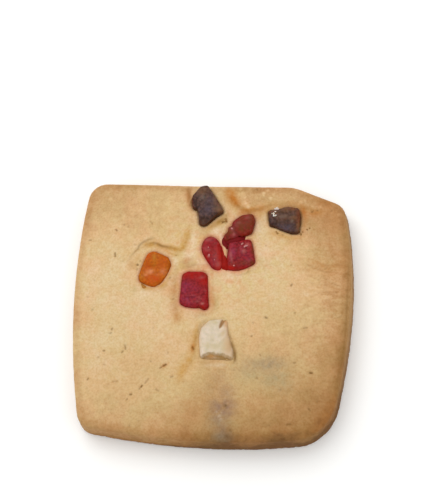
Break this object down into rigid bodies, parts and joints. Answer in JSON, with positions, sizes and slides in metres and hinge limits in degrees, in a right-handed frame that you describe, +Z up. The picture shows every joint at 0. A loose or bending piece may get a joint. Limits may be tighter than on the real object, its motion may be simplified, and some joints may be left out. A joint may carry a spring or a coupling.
{
  "type": "fruit and nut biscuit",
  "caption": "Flat square shortbread biscuit with a rolled edge and slumped corners, pieces of red, orange and dark candied fruit and of cashew nut set in its top.",
  "frame": {"origin": "under the middle of the biscuit, on the flat face that it rests on", "axes": "+X to the biscuit's right side as the picture shows it, +Y to its back edge, +Z up out of its top"},
  "size_m": [0.0628, 0.061, 0.0092],
  "materials": {
    "baked_dough": "baked shortbread dough, dry and matt, browner at its edges",
    "dark_fruit": "dark candied fruit, semi-gloss",
    "red_fruit": "red candied fruit, glossy and translucent",
    "orange_fruit": "orange candied fruit, glossy and translucent",
    "cashew": "broken cashew nut, satin"
  },
  "bodies": {
    "root": {"biscuit": "baked_dough", "dark_fruit_back": "dark_fruit", "dark_fruit_right": "dark_fruit", "red_fruit_strip": "red_fruit", "red_fruit_block": "red_fruit", "red_fruit_long": "red_fruit", "red_fruit_cube": "red_fruit", "orange_fruit": "orange_fruit", "cashew_piece": "cashew"}
  },
  "joints": []
}
